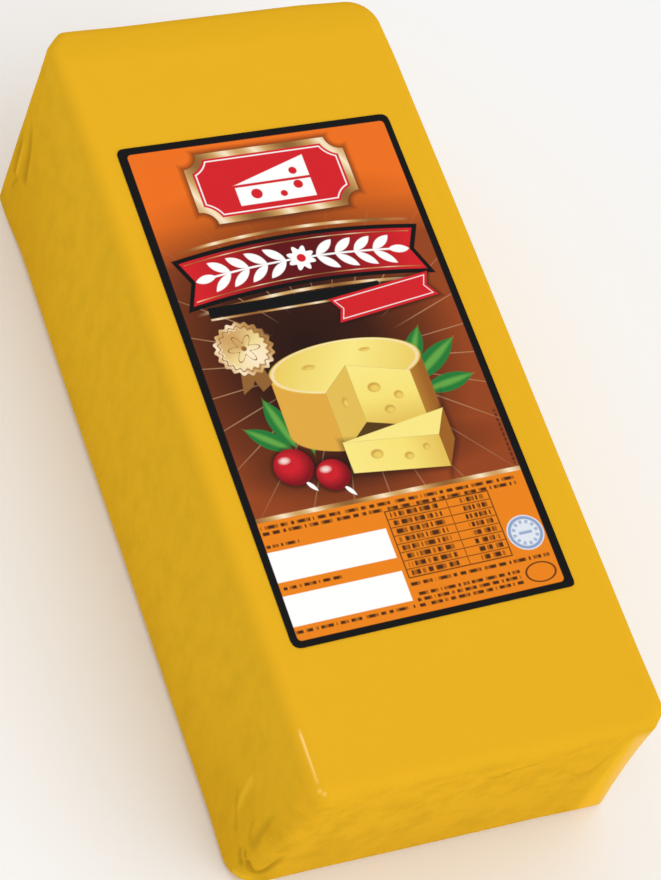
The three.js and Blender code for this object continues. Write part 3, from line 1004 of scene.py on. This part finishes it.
ground.paint(gold, rule(band_y - FOIL_LINE, FOIL_HALF) * inked(band_x - FOIL_REACH, FOIL_FADE))
fill(INK_BLACK, band)
band_red = inked(band + BAND_EDGE)
ground.paint(INK_RED, band_red)
ground.paint(INK_RED_DEEP, band_red * band_x.ramp(*BAND_DEEP, 1.0, 0.0))
ground.paint(gold, rule(band_y - BAND_LINE, FINE_LINE) * inked(band + BAND_LINE_END))
band_place = band_x.node("ShaderNodeCombineXYZ", inputs={0: band_x, 1: band_y})
garland = (band_y - STEM_HALF).over(band_x - GARLAND_REACH)
for step in range(4):
    leaf_base = (LEAF_START + LEAF_STEP * step, 0.2)
    leaf_tip = (leaf_base[0] + LEAF_RUN[0], leaf_base[1] + LEAF_RUN[1])
    garland = garland.under(leaf_shape(leaf_base, leaf_tip, LEAF_HALF, on=band_place))
garland = garland.under(leaf_shape(*LAST_LEAF, LEAF_HALF, on=band_place))
garland = garland.under(disc(BAND, 4.0) + scallop(bearing(BAND), count=8, depth=0.8))
fill(INK_WHITE, garland)
fill(INK_RED, disc(BAND, 1.5))

# A plain black bar below the band, and a plain red ribbon slung across its right end.
BAR = (40, 116.4)
BAR_HALF = (29, 1.9)
BAR_FOIL = (40, 113.9)
BAR_FOIL_HALF = (29, 0.35)
RIBBON = (69, 112)
RIBBON_HALF = (18, 4.6)
RIBBON_TURN = math.radians(7)
RIBBON_END_SLANT = 0.5
RIBBON_LINE = 1.1
fill(INK_BLACK, oblong(BAR, *BAR_HALF))
fill(gold, oblong(BAR_FOIL, *BAR_FOIL_HALF))
ribbon_run = (math.cos(RIBBON_TURN), math.sin(RIBBON_TURN), 0)
ribbon_side = (-math.sin(RIBBON_TURN), math.cos(RIBBON_TURN), 0)
ribbon_place = sheet.vector_math("SUBTRACT", (*RIBBON, 0))
ribbon_x = abs(ribbon_place.vector_math("DOT_PRODUCT", ribbon_run))
ribbon_y = abs(ribbon_place.vector_math("DOT_PRODUCT", ribbon_side))
ribbon_end = ribbon_x - RIBBON_HALF[0] + (RIBBON_HALF[1] - ribbon_y) * RIBBON_END_SLANT
ribbon = ribbon_end.over(ribbon_y - RIBBON_HALF[1])
ground.paint(INK_BLACK, shade_round(ribbon, reach=1.6, strength=0.7))
fill(INK_RED, ribbon)
ground.paint(INK_WHITE, rule(ribbon + RIBBON_LINE, 0.14))

# The picture: a wheel of cheese with a wedge cut out and laid before it, with radishes.
CHEESE_TOP = screen(250, 232, 134)
CHEESE_TOP_DEEP = screen(236, 205, 96)
CHEESE_FACE = screen(248, 226, 118)
CHEESE_FACE_DEEP = screen(228, 190, 84)
CHEESE_HOLE = screen(206, 160, 66)
RIND = screen(226, 170, 66)
RIND_DEEP = screen(158, 98, 34)
LEAF_GREEN = screen(34, 122, 54)
LEAF_LIGHT = screen(112, 178, 74)
RADISH_RED = screen(206, 30, 42)
RADISH_DEEP = screen(128, 12, 24)
GLINT = screen(255, 236, 226)

# The shade under it all, and the leaves, each by its base, its tip and its half-width.
PICTURE_SHADE = (46, 57)
PICTURE_SHADE_HALF = (38, 9)
LEAVES = (
    ((68, 80), (86, 93), 3.6),
    ((70, 76), (88, 79), 3.2),
    ((68, 84), (76, 99), 3.0),
    ((22, 64), (9, 74), 3.0),
    ((23, 65), (18, 83), 3.2),
    ((28, 62), (30, 79), 3.0),
)
picture_shade = oval(PICTURE_SHADE, *PICTURE_SHADE_HALF).ramp(-PICTURE_SHADE_HALF[1], 2, 0.9, 0.0)
ground.paint(BROWN_CORE, picture_shade)
for leaf_base, leaf_tip, leaf_half in LEAVES:
    fill(LEAF_GREEN, leaf_shape(leaf_base, leaf_tip, leaf_half))
    leaf_rib = leaf_shape(leaf_base, leaf_tip, leaf_half * 0.35)
    ground.paint(LEAF_LIGHT, leaf_rib.ramp(-0.6, 0.5, 0.75, 0.0))

# The wheel, seen a little from above: its side with the rind, then its top.
WHEEL = (48, 90)
WHEEL_HALF = (25.5, 9.2)
WHEEL_DEEP = 21
RIND_LIT = 40
WHEEL_FOOT = (WHEEL[0], WHEEL[1] - WHEEL_DEEP)
wheel_top = oval(WHEEL, *WHEEL_HALF)
wheel_side = oblong((WHEEL[0], WHEEL[1] - WHEEL_DEEP / 2), WHEEL_HALF[0], WHEEL_DEEP / 2)
wheel_side = wheel_side.under(oval(WHEEL_FOOT, *WHEEL_HALF))
rind_share = abs(sheet_x - RIND_LIT).ramp(2, 32)
rind = rind_share.colours((0.0, RIND), (0.55, RIND), (1.0, RIND_DEEP))
fill(rind, wheel_side)
top_share = (sheet_x - sheet_y * 0.6).ramp(-30, 20)
top_colour = top_share.colours((0.0, CHEESE_TOP_DEEP), (0.5, CHEESE_TOP), (1.0, CHEESE_TOP_DEEP))
fill(top_colour, wheel_top)
ground.paint(GLINT, rule(wheel_top + 0.4, 0.18) * 0.5)

# The wedge cut out of it, which bares two faces of cheese.
CUT_LEFT = math.radians(-112)
CUT_RIGHT = math.radians(-38)
CUT_BOTTOM = 58


def wheel_point(turn, drop=0):
    """A point on the wheel's top edge, or below it on the side."""
    x = WHEEL[0] + WHEEL_HALF[0] * math.cos(turn)
    return (x, WHEEL[1] + WHEEL_HALF[1] * math.sin(turn) - drop)


cut_left = wheel_point(CUT_LEFT)
cut_right = wheel_point(CUT_RIGHT)
cut = polygon(WHEEL, cut_left, (cut_left[0], CUT_BOTTOM), (cut_right[0], CUT_BOTTOM), cut_right)
ground.paint(BROWN_CORE, inked(cut.over(wheel_side.under(wheel_top))) * 0.9)
left_face = polygon(WHEEL, cut_left, wheel_point(CUT_LEFT, WHEEL_DEEP), WHEEL_FOOT)
fill(CHEESE_FACE_DEEP, left_face)
right_face = polygon(WHEEL, WHEEL_FOOT, wheel_point(CUT_RIGHT, WHEEL_DEEP), cut_right)
face_share = sheet_y.ramp(66, 88)
face_colour = face_share.colours((0.0, CHEESE_FACE_DEEP), (0.5, CHEESE_FACE), (1.0, CHEESE_TOP))
fill(face_colour, right_face)

# The slice laid before the wheel, by the corners of its top and front and the rind behind.
SLICE_TOP_LEFT = (38, 63.5)
SLICE_TOP_RIGHT = (69.5, 60)
SLICE_TOP_BACK = (74, 69)
SLICE_LOW_LEFT = (38, 52.5)
SLICE_LOW_RIGHT = (69.5, 48.5)
SLICE_LOW_BACK = (74, 57.5)
slice_top = polygon(SLICE_TOP_LEFT, SLICE_TOP_RIGHT, SLICE_TOP_BACK)
slice_front = polygon(SLICE_LOW_LEFT, SLICE_LOW_RIGHT, SLICE_TOP_RIGHT, SLICE_TOP_LEFT)
slice_rind = polygon(SLICE_LOW_RIGHT, SLICE_LOW_BACK, SLICE_TOP_BACK, SLICE_TOP_RIGHT)
slice_sides = slice_front.under(slice_rind)
ground.paint(BROWN_CORE, shade_round(slice_sides, reach=2.2, strength=0.6))
fill(CHEESE_TOP, slice_top)
front_share = sheet_x.ramp(38, 70)
front_colour = front_share.colours((0.0, CHEESE_TOP), (0.6, CHEESE_FACE), (1.0, CHEESE_FACE_DEEP))
fill(front_colour, slice_front)
fill(RIND_DEEP, slice_rind)

# The holes in the cheese, each by its middle and its half-width and half-height.
HOLES = (
    ((54.5, 80.5), 2.1, 1.7),
    ((61.5, 76.5), 1.5, 1.4),
    ((57, 72), 1.7, 1.4),
    ((43.6, 77), 1.0, 1.8),
    ((47.5, 57.5), 2.0, 1.6),
    ((57.5, 54.8), 1.5, 1.3),
    ((64, 56.8), 1.1, 1.1),
    ((36, 91.5), 2.0, 0.8),
    ((56, 94.5), 1.6, 0.6),
)
HOLE_EDGE = 0.3
for (hole_x, hole_y), hole_width, hole_height in HOLES:
    hole = oval((hole_x, hole_y), hole_width, hole_height)
    fill(CHEESE_HOLE, hole, HOLE_EDGE)
    hole_floor = oval((hole_x + 0.2, hole_y - 0.35), hole_width * 0.75, hole_height * 0.7)
    fill(CHEESE_TOP_DEEP, hole_floor, HOLE_EDGE)

# Two radishes with their roots, each by its middle and its radius.
RADISHES = (((20, 58.5), 6.4), ((31.5, 53.5), 5.4))
for (radish_x, radish_y), size in RADISHES:
    radish = disc((radish_x, radish_y), size)
    ground.paint(BROWN_CORE, shade_round(radish, reach=1.6, strength=0.7))
    root_base = (radish_x + 2, radish_y - size + 1)
    root_tip = (radish_x + 5, radish_y - size - 3)
    fill(INK_WHITE, leaf_shape(root_base, root_tip, 0.7))
    fill(RADISH_DEEP, radish)
    lit_side = disc((radish_x - 1, radish_y + 1.2), 0).ramp(size * 0.45, size * 1.05, 1.0, 0.0)
    ground.paint(RADISH_RED, lit_side * inked(radish))
    glint = oval((radish_x - size * 0.35, radish_y + size * 0.42), 1.5, 1.0)
    ground.paint(GLINT, inked(glint, 0.5) * 0.8)

# A gold rosette with a scalloped rim and two short tails, left of the picture.
SEAL = (18, 102)
SEAL_RADIUS = 9.4
SEAL_RING = 1.5
SEAL_FACE = 2.2
TAIL_SPREAD = 3.2
SEAL_PALE = screen(240, 218, 150)
for side in (-1, 1):
    tail_x = SEAL[0] + TAIL_SPREAD * side
    tail_top = SEAL[1] - 4
    tail = polygon(
        (tail_x - 2, 86), (tail_x + 2, 88.5), (SEAL[0] + 3, tail_top), (SEAL[0] - 3, tail_top)
    )
    fill(GOLD_DARK, tail)
seal_turn = bearing(SEAL)
seal = disc(SEAL, SEAL_RADIUS) - scallop(seal_turn, count=20, depth=0.45)
fill(gold, seal)
ground.paint(GOLD_DARK, rule(seal + SEAL_RING, FINE_LINE))
seal_share = (seal_turn + 0.9).math("COSINE") * 0.5 + 0.5
seal_face = seal_share.colours((0.0, GOLD), (0.6, SEAL_PALE), (1.0, GOLD_LIGHT))
fill(seal_face, seal + SEAL_FACE)
petals = disc(SEAL, 3.6) - scallop(seal_turn, count=6, depth=1.6)
ground.paint(GOLD_DARK, rule(petals, THIN_LINE))
fill(GOLD_DARK, disc(SEAL, 0.9))

# The information panel: orange, under a gold rule, with two white fields to write on.
PANEL_TOP = 42.4
PANEL_RULE = 43.1
FIELD_X = 21.8
FIELD_HEIGHTS = (27.0, 12.1)
FIELD_HALF = (19.6, 5.15)
fill(ORANGE_LOW, sheet_y - PANEL_TOP)
ground.paint(gold, rule(sheet_y - PANEL_RULE, 0.75))
for field_height in FIELD_HEIGHTS:
    fill(INK_WHITE, oblong((FIELD_X, field_height), *FIELD_HALF))

# The ruled table beside the fields.
TABLE = (60.3, 26.0)
TABLE_HALF = (17.4, 11.6)
TABLE_ROW = 2.9
TABLE_COLUMN = 63.5
table = oblong(TABLE, *TABLE_HALF)
table_rows = (sheet_y - (TABLE[1] - TABLE_HALF[1])) * (1 / TABLE_ROW)
row_off = 0.5 - abs(table_rows.math("FRACT") - 0.5)
row_lines = inked(row_off - 0.05, 0.05) * inked(table)
column_line = inked(oblong((TABLE_COLUMN, TABLE[1]), 0.13, TABLE_HALF[1]))
table_lines = row_lines.over(column_line).over(rule(table, FINE_LINE))
ground.paint(INK_BLACK, table_lines * 0.85)


def small_print(centre, half_width, half_height, row_step, word_step):
    """Rows of short bars, as long as words, where a label carries its small print."""
    row = (sheet_y - (centre[1] - half_height)) * (1 / row_step)
    in_row = inked(abs(row.math("FRACT") - 0.5) - 0.29, 0.1)
    shift = row.math("FLOOR") * 0.37
    word = (sheet_x * (1 / word_step) + shift).math("FRACT").ramp(0.14, 0.2)
    long_word = (sheet_x * (1 / (word_step * 1.63)) + shift * 1.7).math("FRACT").ramp(0.1, 0.15)
    letters = (sheet_x * 1.9 + shift * 5).math("SINE").ramp(-0.9, 0.1, 0.55, 1.0)
    area = inked(oblong(centre, half_width, half_height), 0.05)
    return in_row * (word * long_word) * letters * area


# Each area of small print: its middle, its half-width and half-height, and the steps of its
# rows and words. The narrow strip up the right side has bars alone.
PRINT_AREAS = (
    ((45.5, 39.4), 42.5, 2.0, 2.0, 5.3),
    ((8.2, 34.0), 5.6, 0.9, 1.8, 4.1),
    ((13, 19.6), 9.5, 0.9, 1.8, 4.7),
    ((22, 5.0), 19.5, 0.9, 1.8, 4.9),
    ((52.5, 26.0), 8.2, 11.6, 2.9, 4.3),
    ((72.0, 26.0), 4.2, 11.6, 2.9, 3.1),
    ((66, 12.2), 23.5, 1.0, 2.0, 5.1),
    ((60.5, 6.8), 17.5, 2.9, 1.9, 4.6),
)
STRIP = (90.2, 55)
STRIP_HALF = (0.4, 10)
for area in PRINT_AREAS:
    ground.paint(INK_BLACK, small_print(*area) * 0.92)
strip_bars = (sheet_y * 0.55).math("FRACT").ramp(0.2, 0.3)
ground.paint(INK_BLACK, strip_bars * inked(oblong(STRIP, *STRIP_HALF)) * 0.6)

# A plain ringed disc and a plain oval outline at the panel's right.
MARK_BLUE = screen(110, 140, 188)
MARK_PALE = screen(226, 232, 240)
MARK = (84.7, 21)
MARK_RADIUS = 6.1
MARK_OVAL = (84.7, 7.0)
MARK_OVAL_HALF = (4.9, 3.3)
mark = disc(MARK, MARK_RADIUS)
fill(MARK_PALE, mark)
ground.paint(MARK_BLUE, rule(mark + 0.9, 0.5) * 0.8)
mark_bars = (bearing(MARK) * 12).math("SINE").ramp(-0.2, 0.2)
ground.paint(MARK_BLUE, mark_bars * rule(mark + 2.3, 0.6) * 0.6)
ground.paint(MARK_BLUE, inked(oblong(MARK, 2.2, 0.5)) * 0.7)
ground.paint(INK_BLACK, rule(oval(MARK_OVAL, *MARK_OVAL_HALF), THIN_LINE) * 0.9)

# The black border, which runs to the label's edge. The sheet is cut a little askew, so the
# border leans over the label's length.
BORDER_SIDE = 2.6
BORDER_NEAR = 2.2
BORDER_FAR = 2.7
BORDER_LEAN = 0.66
BORDER_CORNER = 1.4
border_middle = (PRINT_WIDTH / 2, (PRINT_LENGTH + BORDER_NEAR - BORDER_FAR) / 2)
border_half_width = PRINT_WIDTH / 2 - BORDER_SIDE - BORDER_CORNER
border_half_length = (PRINT_LENGTH - BORDER_NEAR - BORDER_FAR) / 2 - BORDER_CORNER
border_lean = (sheet_y * (1 / PRINT_LENGTH) - 0.5) * BORDER_LEAN
border_x = (abs(sheet_x - border_lean - border_middle[0]) - border_half_width).over(0)
border_y = (abs(sheet_y - border_middle[1]) - border_half_length).over(0)
border = (border_x * border_x + border_y * border_y).math("SQRT") - BORDER_CORNER
ground.paint(INK_BLACK, border.ramp(-INK_EDGE, INK_EDGE))

ground.feed(coating_shader, "Base Color")
label.data.materials.append(coating)
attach(label, "root")
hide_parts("label")
